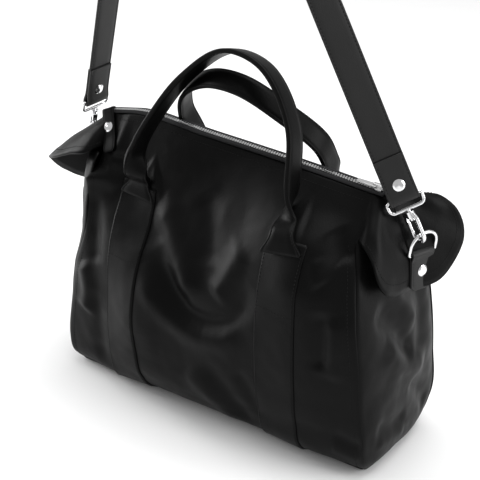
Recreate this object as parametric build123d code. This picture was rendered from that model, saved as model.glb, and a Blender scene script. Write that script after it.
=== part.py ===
"""Soft leather zip-top bag with two short handles and a clip-on shoulder strap.

Millimetres, +Z up. The origin is the middle of the flat base. +X runs along the bag, -Y is the front.
Every function makes one kind of piece; main() writes one STEP for each node.
"""

from build123d import *

import os
from math import atan2, degrees, sqrt

# ---- body: rounded rectangles from the base to the zip, ruled between them -----------------------------
LEATHER = 2.0  # thickness of a leather panel
BASE_SLAB = 2.0  # height of the base panel
TOP_Z = 306.0  # top edge of the panels at the right end
TOP_RISE = 16.0  # the top edge climbs this much towards the left end
TOP_HALF = 187.0  # half the length of the top edge
ABOVE = 340.0  # higher than the body
GUSSET_TOP = 262.0  # the gussets stop here, and the panels wrap round the ends above them
SEAM_OFFSET = 127.0  # a gusset is where |x| - |y| is more than this
# height, half length, half depth, corner radius
SECTIONS = [
    (0.0, 208.0, 54.0, 26.0),
    (10.0, 216.0, 70.0, 36.0),
    (34.0, 220.0, 84.0, 44.0),
    (95.0, 219.0, 91.0, 50.0),
    (165.0, 212.0, 88.0, 46.0),
    (215.0, 203.0, 74.0, 38.0),
    (262.0, 193.0, 44.0, 26.0),
    (TOP_Z, TOP_HALF, 9.0, 8.5),
]
SKIN_GAP = 0.25  # between two skins that lie on each other

# ---- inside ------------------------------------------------------------------------------------------
BOARD = (384.0, 100.0, 3.0)  # base stiffener
LINING = 0.8
POCKET = (180.0, 60.0, 185.0)  # width, lowest and highest z

# ---- handles ------------------------------------------------------------------------------------------
STRIP_INNER = 83.0  # the reinforcing strips run from here
STRIP_WIDTH = 52.0
STRIP_TOP = 258.0
HANDLE_FOOT_Z = 263.0
HANDLE_WIDTH = 26.0
HANDLE_THICK = 5.0
FRONT_HANDLE_Y = -61.0
FRONT_LEAN = -15.0  # degrees about +X, so towards the back
# the arch from the left foot to the right one: x, height above the feet
FRONT_ARCH = [
    (-100, 0), (-104, 36), (-84, 88), (-51, 135), (-4, 170), (50, 160), (90, 109), (100, 50), (100, 0),
]
BACK_HANDLE_Y = 61.0
BACK_LEAN = 32.0  # towards the front, under the other handle
BACK_ARCH = [
    (-98, 0), (-86, 40), (-82, 85), (-59, 126), (-20, 152), (21, 152), (60, 122), (91, 88), (97, 48), (99, 0),
]

# ---- zip ----------------------------------------------------------------------------------------------
ZIP_FROM = -180.0
ZIP_TO = 184.0
TOOTH_PITCH = 3.2
TOOTH_LONG = 1.3
TOOTH_REACH = (-3.6, 0.9)  # across the chain, for the front row
TOOTH_TALL = 3.0
TAPE_EDGE = 8.6
SLIDER_X = 174.0
SLIDER_LONG = 12.0
PULL_LONG = 24.0

# ---- end flaps ----------------------------------------------------------------------------------------
FLAP = 2.4  # two thin layers sewn together
FLAP_TOP_X = 187.0
FLAP_BEND = (216.0, 244.0)  # x and z where the right flap turns straight down
FLAP_LOW = (219.0, 205.0)

# ---- metal fittings -----------------------------------------------------------------------------------
RING_WIRE = 2.0
RING_HALF = 17.5  # D-ring, centre of the wire
RING_HIGH = 25.5
RING_CORNER = 3.0
TAB_WIDTH = 29.0
TAB_LENGTH = 40.0
END_TAB = (16.0, 50.0, 2.2)  # width, length, thickness of the tab over the zip's closed end
END_TAB_X = -180.0
END_TAB_RIVET = 19.0  # from the tab's upper end
TOUCH = 0.05  # between two pieces that lie on each other but aren't one solid
RIVET_CAP = 6.3
RIVET_DOWN = 19.0  # from the ring's bar to the rivet
EYE_HALF = 18.8
EYE_DROP = 12.2
EYE_CORNERS = (2.8, 5.5)  # by the strap and by the stud
EYE_WIRE = 1.8
STUD = 2.0
HOOK_WIRE = 2.2
HOOK_HALF = 7.4  # half the width of the hook's throat, between wire centres
HOOK_LONG = 33.0  # from the collar's middle to the bottom of the hook
HOOK_OVER_RING = 8.2  # how far the ring's wire is inside the hook
HANG = {-1: 8.2, 1: 8.8}  # the hooks rest this far off the middle of their rings, towards the front
HOOK_FLOOR = 2.0  # from the middle of the bend's wire to the end of HOOK_LONG
COLLAR_DROP = EYE_DROP + 6.5
GATE_PIVOT = 5.9  # below the collar's middle
GATE_PIN = 0.9

# ---- shoulder strap -----------------------------------------------------------------------------------
STRAP_WIDTH = 32.0
STRAP_THICK = 3.0
STRAP_FOLD = 5.2  # outer radius of the fold round the hook's eye
STRAP_DOUBLE = 44.0  # length that is doubled and riveted
STRAP_RIVET_UP = 15.0
HOLD = Vector(-46.0, -56.0, 846.0)  # where the two straight legs would meet
HOLD_BEND = 95.0  # the bend starts this far from that point

RIGHT_BAR = Vector(222.0, 12.0, 244.0)
LEFT_BAR = Vector(-222.5, 10.3, 264.1)


def unit(v):
    return v / v.length


def section(z, half_x, half_y, radius, grow=0.0):
    outline = RectangleRounded(2 * (half_x + grow), 2 * (half_y + grow), radius + grow)
    return Pos(0, 0, z) * outline


def on_top(shape):
    """Moves what was drawn level at TOP_Z onto the sloping top edge."""
    slope = degrees(atan2(TOP_RISE, 2 * TOP_HALF))
    return Pos(0, 0, TOP_Z + TOP_RISE / 2) * Rot(0, slope, 0) * Pos(0, 0, -TOP_Z) * shape


def body(grow=0.0):
    """The bag's outer form, larger by grow on every side, with its base and top at their own heights."""
    level = [section(*s, grow=grow) for s in SECTIONS[:-1]]
    return loft(level + [on_top(section(*SECTIONS[-1], grow=grow))], ruled=True)


def block(x0, x1, y0, y1, z0, z1):
    return Pos((x0 + x1) / 2, (y0 + y1) / 2, (z0 + z1) / 2) * Box(x1 - x0, y1 - y0, z1 - z0)


def gusset_zone(side):
    """Everything past the corner seams at one end, below the flaps."""
    far = 260.0
    wedge = Polyline(
        (side * SEAM_OFFSET, 0),
        (side * (SEAM_OFFSET + far), far),
        (side * (SEAM_OFFSET + far), -far),
        close=True,
    )
    return Pos(0, 0, BASE_SLAB) * extrude(make_face(wedge), amount=GUSSET_TOP - BASE_SLAB, dir=(0, 0, 1))


def skin(outside, inside):
    """The leather between two forms, open at the top."""
    return body(outside) - body(inside)


def front_half():
    return block(-260, 260, -200, 0, BASE_SLAB, ABOVE)


def back_half():
    return block(-260, 260, 0, 200, BASE_SLAB, ABOVE)


def plate(outline, through):
    """A flat double leather plate with this outline, in the plane through three points."""
    a, b, c = (Vector(*p) for p in through)
    normal = unit((b - a).cross(c - a))
    flat = [Vector(*p) - normal * (Vector(*p) - a).dot(normal) for p in outline]
    return extrude(make_face(Polyline(*flat, close=True)), amount=FLAP / 2, dir=normal, both=True)


# ---- leather body -------------------------------------------------------------------------------------


def flap_profile():
    """The right flap seen from the front: down from the zip, then straight."""
    bend_x, bend_z = FLAP_BEND
    low_x, low_z = FLAP_LOW
    line = [
        (FLAP_TOP_X - 3, TOP_Z),
        (bend_x, bend_z),
        (low_x, low_z),
        (low_x - FLAP, low_z),
        (bend_x - FLAP, bend_z),
        (FLAP_TOP_X - 3 - FLAP, TOP_Z - 2),
    ]
    return Plane.XZ * make_face(Polyline(*line, close=True))


def right_front_ear():
    outline = [
        (-0.3, 305.5), (-9, 304), (-42, 264), (-52, 250), (-53, 232), (-46, 216), (-30, 206), (-0.3, 205),
    ]
    cutter = Plane.YZ * make_face(Polyline(*outline, close=True))
    return extrude(flap_profile(), amount=60, both=True) & extrude(cutter, amount=300)


def right_rear_ear():
    """Two flat fields that meet in a fold, splayed outward."""
    top, fold, low = (183, 0.6, 305), (216, 0.6, 244), (219, 0.6, 205)
    far = (249, 56.8, 241.5)
    edge = [(213, 30, 300), (221, 40, 299), (235, 57, 282), (245, 60, 255)]
    upper = plate([top, *edge, far, fold], (top, fold, far))
    lower = plate([fold, far, (245, 46, 231), (236, 31, 214), (231, 23, 204), low], (fold, low, far))
    return (upper + lower) & block(180, 300, 0.3, 120, 190, 320)


def left_front_ear():
    top, tip, low = (-183, -5, 303), (-262, -29, 252), (-185, -49, 285)
    return plate([top, tip, (-240, -44, 262), (-215, -52, 275), low], (top, tip, low))


def left_rear_ear():
    top, tip, low = (-183, 3, 304), (-262, -27, 250), (-236, 24, 224)
    order = [top, tip, (-264, -6, 236), (-252, 18, 217), (-224, 38, 216), (-202, 44, 240), (-187, 26, 284)]
    return plate(order, (top, tip, low))


def shell_pieces():
    """Front and back panels, two gussets and the base, cut from one skin."""
    wall = skin(0.0, -LEATHER)
    ends = gusset_zone(1) + gusset_zone(-1)
    front = (wall & front_half()) - ends
    back = (wall & back_half()) - ends
    pieces = {
        "gusset_right": wall & gusset_zone(1),
        "gusset_left": wall & gusset_zone(-1),
        "base_panel": body() & block(-260, 260, -200, 200, 0, BASE_SLAB),
    }
    hollow = body(-LEATHER / 2)
    pieces["front_panel"] = front + ((right_front_ear() + left_front_ear()) - hollow - ends)
    pieces["back_panel"] = back + ((right_rear_ear() + left_rear_ear()) - hollow - ends)
    return pieces


def strip(side_x, side_y):
    """A reinforcing strip on the front or back panel, from the base seam to the handle's foot."""
    layer = skin(LEATHER, 0.0)
    x0 = side_x * STRIP_INNER
    x1 = side_x * (STRIP_INNER + STRIP_WIDTH)
    zone = block(min(x0, x1), max(x0, x1), min(0, side_y * 200), max(0, side_y * 200), BASE_SLAB, STRIP_TOP)
    return layer & zone


def inside_pieces():
    length, depth, thick = BOARD
    board = Pos(0, 0, BASE_SLAB + 0.1 + thick / 2) * extrude(
        RectangleRounded(length, depth, 30), amount=thick / 2, both=True
    )
    outer = LEATHER + SKIN_GAP
    floor = BASE_SLAB + thick + 0.3
    lining = skin(-outer, -outer - LINING) & block(-260, 260, -200, 200, floor, TOP_Z - 4)
    lining += body(-outer) & block(-260, 260, -200, 200, floor, floor + LINING)
    width, low, high = POCKET
    gap = outer + LINING + SKIN_GAP
    pocket = skin(-gap, -gap - LINING) & block(-width / 2, width / 2, 0, 200, low, high)
    return {"base_board": board, "lining": lining, "inner_pocket": pocket}


# ---- handles ------------------------------------------------------------------------------------------


def handle(foot_y, arch, lean):
    """A flat strap bent into an arch, upright, then leant about the line through its two feet."""
    points = [Vector(x, 0, z) for x, z in arch]
    path = Spline(*points)
    start = Plane(origin=path @ 0, x_dir=(0, 1, 0), z_dir=path % 0)
    band = sweep(start * Rectangle(HANDLE_WIDTH, HANDLE_THICK), path=path)
    return Pos(0, foot_y, HANDLE_FOOT_Z) * Rot(lean, 0, 0) * band


# ---- zip ----------------------------------------------------------------------------------------------


def zip_tape(side):
    y0, y1 = sorted((side * TAPE_EDGE, side * -TOOTH_REACH[0]))
    return block(ZIP_FROM, ZIP_TO, y0, y1, TOP_Z, TOP_Z + 1.0)


def zip_teeth(side):
    """One row of metal elements. The two rows are half a pitch apart and mesh in the middle."""
    y0, y1 = sorted(side * -v for v in TOOTH_REACH)
    shift = 0.0 if side < 0 else TOOTH_PITCH / 2
    count = int((ZIP_TO - ZIP_FROM - 2 * TOOTH_PITCH) / TOOTH_PITCH)
    low = TOP_Z + 0.5 - TOOTH_TALL / 2
    teeth = []
    for i in range(count):
        x = ZIP_FROM + TOOTH_PITCH * (i + 1) + shift
        teeth.append(block(x, x + TOOTH_LONG, y0, y1, low, low + TOOTH_TALL))
    return teeth


def zip_stops():
    """The stop at the closed end, and the box at the other."""
    low = TOP_Z + 0.5 - TOOTH_TALL / 2
    left = block(ZIP_FROM - 3.5, ZIP_FROM - 0.2, -3.4, 3.4, TOP_Z + 1.05, low + TOOTH_TALL)
    right = block(ZIP_TO - 0.2, ZIP_TO + 2.6, -3.4, 3.4, TOP_Z + 1.05, low + TOOTH_TALL)
    return [left, right]


def zip_slider():
    top = TOP_Z + 0.5 + TOOTH_TALL / 2 + 0.3
    plan = Polyline((-6, -4.2), (-1, -5.6), (6, -5.6), (6, 5.6), (-1, 5.6), (-6, 4.2), close=True)
    plate_top = Pos(SLIDER_X, 0, top) * extrude(make_face(plan), amount=1.5, dir=(0, 0, 1))
    flanges = [block(SLIDER_X - 1, SLIDER_X + 6, y, y + 1.0, TOP_Z + 1.3, top) for y in (-5.6, 4.6)]
    bridge_side = [
        block(SLIDER_X + x, SLIDER_X + x + 1.6, -1.6, 1.6, top + 1.5, top + 4.4) for x in (-5.0, 2.6)
    ]
    bridge_top = block(SLIDER_X - 5.0, SLIDER_X + 4.2, -1.6, 1.6, top + 4.4, top + 5.6)
    return plate_top + flanges[0] + flanges[1] + bridge_side[0] + bridge_side[1] + bridge_top


def pull_axis():
    """The pull turns about a line through the slider's bridge."""
    return Vector(SLIDER_X - 1.9, 0, TOP_Z + 0.5 + TOOTH_TALL / 2 + 0.3 + 2.95)


def zip_pull():
    """A slim metal tab whose hole goes round the slider's bridge."""
    axis = pull_axis()
    flat = Pos(axis.X + 0.9 - PULL_LONG / 2, 0, axis.Z) * Rectangle(PULL_LONG, 6.4)
    flat = extrude(fillet(flat.vertices(), radius=1.4), amount=0.6, both=True)
    return flat - block(axis.X - 4.7, axis.X - 0.9, -1.95, 1.95, axis.Z - 2, axis.Z + 2)


# ---- rings, tabs and rivets ---------------------------------------------------------------------------


def end_frame(side):
    """Origin, down and across of the leather tab that holds a ring."""
    if side > 0:
        down = unit(Vector(0.06, -0.03, -1.0))
        across = Vector(0.345, 0.936, 0.0)
        origin = RIGHT_BAR
    else:
        down = unit(Vector(-0.541, 0.204, -0.817))
        across = Vector(0.587, 0.787, -0.192)
        origin = LEFT_BAR
    return origin, down, unit(across - down * across.dot(down))


def ring_up(side):
    """The way a ring points from its bar when the strap is taut."""
    _, _, across = end_frame(side)
    up = Vector(0.16, 0.0, 0.98) if side > 0 else Vector(0.297, -0.098, 0.95)
    return unit(up - across * up.dot(across))


def wire_loop(face, half, high, near, far, wire):
    """A closed loop of wire: a straight bar along the plane's x, and the far side at y = high."""
    line = [
        Line((-half + near, 0), (half - near, 0)),
        CenterArc((half - near, near), near, -90, 90),
        Line((half, near), (half, high - far)),
        CenterArc((half - far, high - far), far, 0, 90),
        Line((half - far, high), (far - half, high)),
        CenterArc((far - half, high - far), far, 90, 90),
        Line((-half, high - far), (-half, near)),
        CenterArc((near - half, near), near, 180, 90),
    ]
    path = face * Wire([e.edge() for e in line])
    start = Plane(origin=face.from_local_coords(Vector(near - half, 0, 0)), z_dir=face.x_dir)
    return sweep(start * Circle(wire), path=path)


def d_ring(side):
    """Straight bar, short sides and a half round, bent from one wire."""
    origin, _, across = end_frame(side)
    face = Plane(origin=origin, x_dir=across, z_dir=across.cross(ring_up(side)))
    return wire_loop(face, RING_HALF, RING_HIGH, RING_CORNER, RING_HALF - 1.0, RING_WIRE)


def ring_hang(side):
    """The point of the ring's wire that the hook rests on."""
    origin, _, across = end_frame(side)
    far = RING_HALF - 1.0
    rise = RING_HIGH - far + sqrt(far**2 - (HANG[side] - 1.0) ** 2)
    return origin + ring_up(side) * rise - across * HANG[side]


def leather_tab(side):
    """A strip folded round the ring's bar, both layers lying on the flap."""
    origin, down, across = end_frame(side)
    face = Plane(origin=origin, x_dir=down, z_dir=across)
    loop = Circle(RING_WIRE + 0.4 + LEATHER)
    layers = Pos(TAB_LENGTH / 2, 0) * Rectangle(TAB_LENGTH, 2 * LEATHER)
    outline = loop + layers - Circle(RING_WIRE + 0.4)
    return extrude(face * outline, amount=TAB_WIDTH / 2, both=True)


def rivet(origin, normal, through):
    """Domed cap, shank and flat back cap, along normal. through is how far the shank goes in."""
    face = Plane(origin=origin, z_dir=normal)
    corners = [(0, 0), (RIVET_CAP, 0), (RIVET_CAP, 0.7), (RIVET_CAP * 0.72, 1.7), (0, 2.3)]
    profile = Polyline(*corners, close=True)
    dome = revolve(Plane.XZ * make_face(profile), Axis.Z, 360)
    shank = Pos(0, 0, -through / 2) * Cylinder(1.6, through)
    back = Pos(0, 0, -through - 0.5) * Cylinder(4.6, 1.0)
    return face * (dome + shank + back)


def tab_rivet(side):
    origin, down, across = end_frame(side)
    out = across.cross(down)
    if out.X * side < 0:
        out = out * -1
    return rivet(origin + down * RIVET_DOWN + out * LEATHER, out, 2 * LEATHER + FLAP + 1.0)


def zip_end_tab():
    """A tab sewn over the closed end of the zip, lying on the sloping front panel, and its rivet."""
    low_z, _, low_y, _ = SECTIONS[-2]
    high_z = TOP_Z + TOP_RISE * (TOP_HALF - END_TAB_X) / (2 * TOP_HALF)
    high_y = SECTIONS[-1][2]
    out = unit(Vector(0, low_z - high_z, low_y - high_y))
    down = unit(Vector(0.42, -0.46, -0.78))
    down = unit(down - out * down.dot(out))
    width, length, thick = END_TAB
    down_the_roof = unit(Vector(0, high_y - low_y, low_z - high_z))
    origin = Vector(END_TAB_X, -high_y, high_z) + down_the_roof
    face = Plane(origin=origin + out * TOUCH, x_dir=down, z_dir=out)
    outline = Pos(length / 2, 0) * RectangleRounded(length, width, 5.0)
    tab = extrude(face * outline, amount=thick)
    fastener = rivet(origin + down * END_TAB_RIVET + out * (thick + TOUCH), out, thick + TOUCH + LEATHER)
    return tab - fastener, fastener


# ---- snap hooks ---------------------------------------------------------------------------------------


def strap_leg(side):
    """The eye's upper bar, the strap's way up from it, and its width, at one end."""
    hang = ring_hang(side)
    up = unit(HOLD - hang)
    eye = hang + up * (COLLAR_DROP + HOOK_LONG - HOOK_OVER_RING)
    across = Vector(0.683, 0.624, 0.381) if side > 0 else Vector(0.087, 0.996, 0.0)
    return eye, up, unit(across - up * across.dot(up))


def snap_eye(side):
    """The swivel's loop, an oval of wire, with a headed stud under it."""
    eye, up, across = strap_leg(side)
    face = Plane(origin=eye, x_dir=across, z_dir=across.cross(-up))
    ring = wire_loop(face, EYE_HALF, EYE_DROP, *EYE_CORNERS, EYE_WIRE)
    down = Plane(origin=eye - up * EYE_DROP, z_dir=-up)
    stud = Pos(0, 0, 6.5) * Cylinder(STUD, 13.0)
    head = Pos(0, 0, 11.6) * Cylinder(STUD + 0.9, 2.6)
    return ring + down * stud + down * head


def hook_frame(side):
    """Origin at the collar's middle, z down the stud, x towards the hook's back."""
    eye, up, _ = strap_leg(side)
    _, _, across = end_frame(side)
    back = up.cross(across)
    if back.X * side < 0:
        back = back * -1
    return Plane(origin=eye - up * COLLAR_DROP, x_dir=back, z_dir=-up)


def snap_hook(side):
    """A collar round the stud, then one bent wire down the back and up round the bottom to the gate."""
    h = HOOK_HALF
    centre = HOOK_LONG - h - HOOK_FLOOR
    line = FilletPolyline((3.8, -1.0), (h, 5.0), (h, centre), radius=4.0)
    arc = CenterArc((0, centre), h, 0, 180)
    tip = Line((-h, centre), (-h, centre - 5))
    path = Plane.XZ * Wire(list(line.edges()) + [arc.edge(), tip.edge()])
    start = Plane(origin=path @ 0, z_dir=path % 0)
    wire = sweep(start * Circle(HOOK_WIRE), path=path)
    collar = Cylinder(STUD + 2.9, 7.0)
    lug = block(-h - 1.9, -2.6, -2.6, 2.6, -1.6, 3.2)
    ears = block(-h - 1.9, -h + 1.9, -2.6, 2.6, 2.0, 8.0) - block(-20, 0, -1.3, 1.3, 3.2, 9.0)
    pin = Pos(-h, 0, GATE_PIVOT) * Rot(90, 0, 0) * Cylinder(GATE_PIN, 5.2)
    hook = wire + collar + lug + ears + pin
    return hook_frame(side) * (hook - Cylinder(STUD + 0.06, 14.0))


def snap_gate(side):
    """The sprung gate that shuts the throat: an eye round the pin, a bar, and a thumb stub."""
    h = HOOK_HALF
    end = HOOK_LONG - h - 7.4
    eye = Pos(-h, 0, GATE_PIVOT) * Rot(90, 0, 0) * Cylinder(1.8, 2.2)
    bar = Pos(-h, 0, (GATE_PIVOT + 1.0 + end) / 2) * Cylinder(1.1, end - GATE_PIVOT - 1.0)
    thick = Pos(-h, 0, (9.0 + end) / 2) * Cylinder(1.8, end - 9.0)
    stub = Pos(-h - 2.4, 0, 11.0) * Rot(0, 90, 0) * Cylinder(1.2, 3.0)
    hole = Pos(-h, 0, GATE_PIVOT) * Rot(90, 0, 0) * Cylinder(GATE_PIN + 0.06, 3.0)
    return hook_frame(side) * (eye + bar + thick + stub - hole)


# ---- shoulder strap -----------------------------------------------------------------------------------


def strap_path():
    """Stations from the left eye over the top to the right eye: position, way along, width."""
    left_eye, left_up, left_width = strap_leg(-1)
    right_eye, right_up, right_width = strap_leg(1)
    bend_in = HOLD - left_up * HOLD_BEND
    bend_out = HOLD - right_up * HOLD_BEND
    stations = [(left_eye + left_up * STRAP_DOUBLE, left_up, left_width)]
    stations.append((bend_in, left_up, left_width))
    top_width = left_width
    steps = 5
    for i in range(1, steps):
        t = i / steps
        place = bend_in * (1 - t) ** 2 + HOLD * (2 * t * (1 - t)) + bend_out * t**2
        way = unit(left_up * (1 - t) - right_up * t)
        stations.append((place, way, top_width))
    stations.append((bend_out, -right_up, top_width))
    run = bend_out - (right_eye + right_up * STRAP_DOUBLE)
    turns = 6
    for i in range(1, turns + 1):
        t = min(1.0, i / (turns - 1))
        place = bend_out - run * (i / turns)
        ease = t * t * (3 - 2 * t)
        stations.append((place, -right_up, top_width * (1 - ease) + right_width * ease))
    return stations


def shoulder_strap():
    faces = []
    for place, way, width in strap_path():
        across = unit(width - way * width.dot(way))
        faces.append(Plane(origin=place, x_dir=across, z_dir=way) * Rectangle(STRAP_WIDTH, STRAP_THICK))
    band = loft(faces, ruled=True)
    for side in (-1, 1):
        eye, up, across = strap_leg(side)
        face = Plane(origin=eye, x_dir=up, z_dir=across)
        hole = Circle(EYE_WIRE + 0.4)
        end = Circle(STRAP_FOLD) + Pos(STRAP_DOUBLE / 2, 0) * Rectangle(STRAP_DOUBLE, 2 * STRAP_THICK) - hole
        band += extrude(face * end, amount=STRAP_WIDTH / 2, both=True)
    return band


def strap_rivet(side):
    eye, up, across = strap_leg(side)
    out = across.cross(up)
    if out.X < 0:
        out = out * -1
    return rivet(eye + up * STRAP_RIVET_UP + out * STRAP_THICK, out, 2 * STRAP_THICK)


# ---- writing ------------------------------------------------------------------------------------------


def build():
    nodes = shell_pieces()
    nodes.update(inside_pieces())
    for name_y, side_y in (("front", -1), ("back", 1)):
        for name_x, side_x in (("left", -1), ("right", 1)):
            nodes[f"{name_y}_strip_{name_x}"] = strip(side_x, side_y)
    nodes["front_handle"] = handle(FRONT_HANDLE_Y, FRONT_ARCH, FRONT_LEAN)
    nodes["back_handle"] = handle(BACK_HANDLE_Y, BACK_ARCH, BACK_LEAN)
    for name, side in (("front", -1), ("back", 1)):
        nodes[f"zip_tape_{name}"] = on_top(zip_tape(side))
        nodes[f"zip_teeth_{name}"] = Compound(children=[on_top(t) for t in zip_teeth(side)])
    nodes["zip_stops"] = Compound(children=[on_top(stop) for stop in zip_stops()])
    nodes["zip_slider"] = on_top(zip_slider())
    nodes["zip_pull"] = on_top(zip_pull())
    strap = shoulder_strap()
    strap_rivets = [strap_rivet(side) for side in (-1, 1)]
    for r in strap_rivets:
        strap -= r
    nodes["shoulder_strap"] = strap
    nodes["strap_rivets"] = Compound(children=strap_rivets)
    nodes["zip_end_tab"], end_rivet = zip_end_tab()
    tab_rivets = [tab_rivet(-1), tab_rivet(1), end_rivet]
    nodes["tab_rivets"] = Compound(children=tab_rivets)
    for name in ("front_panel", "back_panel", "lining", "gusset_right"):
        for r in tab_rivets:
            nodes[name] -= r
    for name, side, r in (("left", -1, tab_rivets[0]), ("right", 1, tab_rivets[1])):
        nodes[f"ring_tab_{name}"] = leather_tab(side) - r
        nodes[f"d_ring_{name}"] = d_ring(side)
        nodes[f"snap_eye_{name}"] = snap_eye(side)
        nodes[f"snap_hook_{name}"] = snap_hook(side)
        nodes[f"snap_gate_{name}"] = snap_gate(side)
    return nodes


def main():
    os.makedirs("parts", exist_ok=True)
    for name, shape in build().items():
        export_step(shape, f"parts/{name}.step")
    for side in (-1, 1):
        eye, up, _ = strap_leg(side)
        print("ring bar", end_frame(side)[0], "hook rests at", ring_hang(side))
        print("eye", eye, "up", up)
    stations = strap_path()
    length = sum((b[0] - a[0]).length for a, b in zip(stations, stations[1:])) + 2 * STRAP_DOUBLE
    print("strap length", round(length))


main()
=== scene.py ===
"""The looks of a soft black leather bag: panels with folds and seams, handles, strap, zip and fittings.

Lengths in this file are millimetres until a mesh is made, +Z up, -Y the front, +X the right end.
"""

import math

import bpy
import numpy as np
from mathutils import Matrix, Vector, noise


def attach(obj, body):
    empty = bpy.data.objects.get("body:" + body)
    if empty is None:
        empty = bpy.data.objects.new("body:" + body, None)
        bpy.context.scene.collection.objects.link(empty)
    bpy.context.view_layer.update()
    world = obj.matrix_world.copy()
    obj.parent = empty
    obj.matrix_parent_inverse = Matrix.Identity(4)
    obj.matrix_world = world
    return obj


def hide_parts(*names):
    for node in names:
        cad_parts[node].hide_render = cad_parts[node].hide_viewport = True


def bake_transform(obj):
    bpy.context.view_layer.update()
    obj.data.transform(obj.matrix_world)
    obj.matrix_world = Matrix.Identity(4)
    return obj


MM = 0.001
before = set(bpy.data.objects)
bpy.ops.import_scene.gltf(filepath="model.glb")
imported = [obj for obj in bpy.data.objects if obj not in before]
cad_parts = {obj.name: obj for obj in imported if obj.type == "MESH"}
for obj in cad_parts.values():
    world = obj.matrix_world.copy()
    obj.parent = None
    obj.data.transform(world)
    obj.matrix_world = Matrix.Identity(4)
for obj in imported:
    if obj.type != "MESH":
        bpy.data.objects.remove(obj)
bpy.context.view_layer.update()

# ---- the body's shape ---------------------------------------------------------------------------------
TOP_Z = 306.0
TAPE_EDGE = 8.6  # half the width of the zip's opening at the top edge
END_TAB_TOP = (-180.0, -9.0, 321.7)  # upper end of the tab over the zip's closed end
ROOF_RUN = 35.0  # the front slopes down from the zip by ROOF_DROP in this depth
ROOF_DROP = 59.7
TAB_GAP = 1.0  # between that slope's tab and the leather behind it
RIGHT_SEAM_TOP = 261.0
LEFT_SEAM_TOP = 272.0
# height of the zip's line: it humps near the left end
ZIP_LINE = [
    (-187, 319), (-172, 321.5), (-158, 324), (-140, 327), (-120, 328), (-88, 326), (-50, 322.5), (0, 319.5),
    (79, 314.5), (128, 310.6), (160, 307.8), (187, 306),
]
LEATHER = 2.0
HUMP_FROM = 150.0  # the hump fades out at this height
FOLD_FADE_TOP = 30.0  # folds fade within these heights of the top and the base
FOLD_FADE_BASE = 20.0

# depth of the front in front of the zip's line, at heights above the base: one column for each x
FRONT_COLUMNS = {
    -136: [
        (0, 52), (9, 66), (46, 78), (75, 80), (128, 77),
        (172, 72), (206, 59), (236, 40), (270, 26), (306, 9),
    ],
    -83: [
        (0, 51), (10, 65), (34, 83), (72, 92), (114, 95),
        (150, 89), (183, 76), (207, 59), (241, 42), (306, 9),
    ],
    -28: [
        (0, 51), (10, 65), (34, 84), (72, 91), (120, 91),
        (160, 84), (195, 70), (225, 54), (255, 38), (306, 9),
    ],
    30: [
        (0, 51), (10, 65), (36, 83), (80, 91), (130, 92),
        (170, 86), (200, 75), (230, 60), (260, 42), (306, 9),
    ],
    83: [
        (0, 51), (10, 65), (47, 83), (91, 90), (143, 92),
        (190, 88), (222, 80), (252, 64), (280, 36), (306, 9),
    ],
    136: [
        (0, 52), (9, 66), (58, 87), (112, 93), (162, 95),
        (209, 93), (234, 85), (261, 68), (284, 34), (306, 9),
    ],
}
BACK_DEPTH = [(0, 54), (10, 70), (34, 85), (95, 91), (165, 88), (215, 74), (262, 43), (306, 9)]
RIGHT_REACH = [(0, 208), (10, 216), (34, 221), (95, 220), (165, 212), (215, 201), (262, 190), (306, 187)]
LEFT_REACH = [
    (0, 208), (10, 216), (34, 221), (95, 221), (140, 215), (165, 212), (215, 207), (245, 206), (275, 200),
    (306, 187),
]

# seams between panel and gusset: height, then how far out in x and in y
FRONT_RIGHT_SEAM = [
    (0, 204, 52), (10, 210, 62), (34, 213, 73), (95, 208, 78), (165, 201, 77), (215, 191, 66),
    (240, 184, 55), (261, 175, 43), (284, 173.5, 26), (306, 172, 9),
]
FRONT_LEFT_SEAM = [
    (0, 204, 52), (10, 210, 61), (34, 212, 67), (98, 204, 66), (140, 198, 63), (186, 183, 60),
    (230, 178, 57), (272, 172, 49), (290, 172, 28), (306, 172, 9),
]
BACK_RIGHT_SEAM = [
    (0, 199, 49), (10, 208, 61), (34, 215, 74), (95, 211, 82), (165, 204, 80), (215, 197, 71),
    (240, 189, 61), (261, 177, 48), (284, 173.5, 26), (306, 172, 9),
]
BACK_LEFT_SEAM = [
    (0, 198, 48), (10, 206, 59), (34, 211, 70), (98, 206, 76), (165, 197, 73), (215, 187, 62),
    (240, 181, 55), (272, 172, 43), (290, 172, 26), (306, 172, 9),
]

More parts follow.
